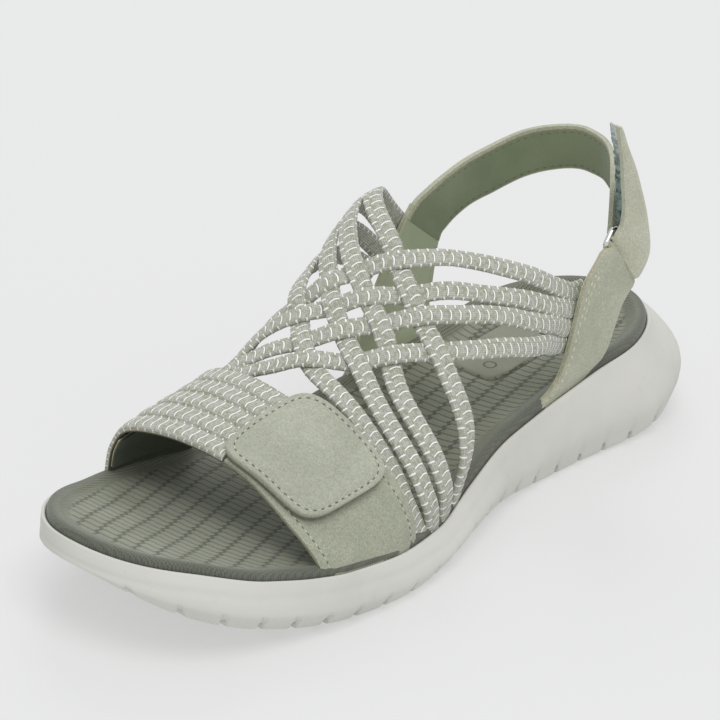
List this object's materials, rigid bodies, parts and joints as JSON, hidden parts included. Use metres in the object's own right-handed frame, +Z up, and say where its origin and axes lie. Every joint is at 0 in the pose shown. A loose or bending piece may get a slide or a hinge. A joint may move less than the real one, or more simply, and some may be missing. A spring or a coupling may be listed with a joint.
{
  "type": "orthopedic sandal",
  "caption": "Left orthopedic sandal with a foam sole, inset footbed, woven elastic upper, hook tab over the toe strap and an adjustable heel strap on a ring.",
  "frame": {"origin": "on the ground under the middle of the shoe's plan box", "axes": "+Y from toe to heel along the foot, +X to the outer side of the foot, +Z up"},
  "size_m": [0.0968, 0.2674, 0.1168],
  "materials": {
    "foam": "smooth matt moulded foam, warm grey white",
    "footbed": "embossed olive cover",
    "elastic": "woven elastic, sage with white flecks",
    "leather": "sage nubuck",
    "lining": "green textile",
    "hooks": "dark green hook tape",
    "metal": "polished"
  },
  "bodies": {
    "root": {"sole": "foam", "footbed": "footbed", "weave": "elastic", "toe_band": "elastic", "base_strap": "leather", "tab": "leather", "vamp_lining": "lining", "quarter_outer": "leather", "quarter_inner": "leather", "heel_strap": "leather", "hook_patch": "hooks", "ring": "metal"}
  },
  "joints": []
}
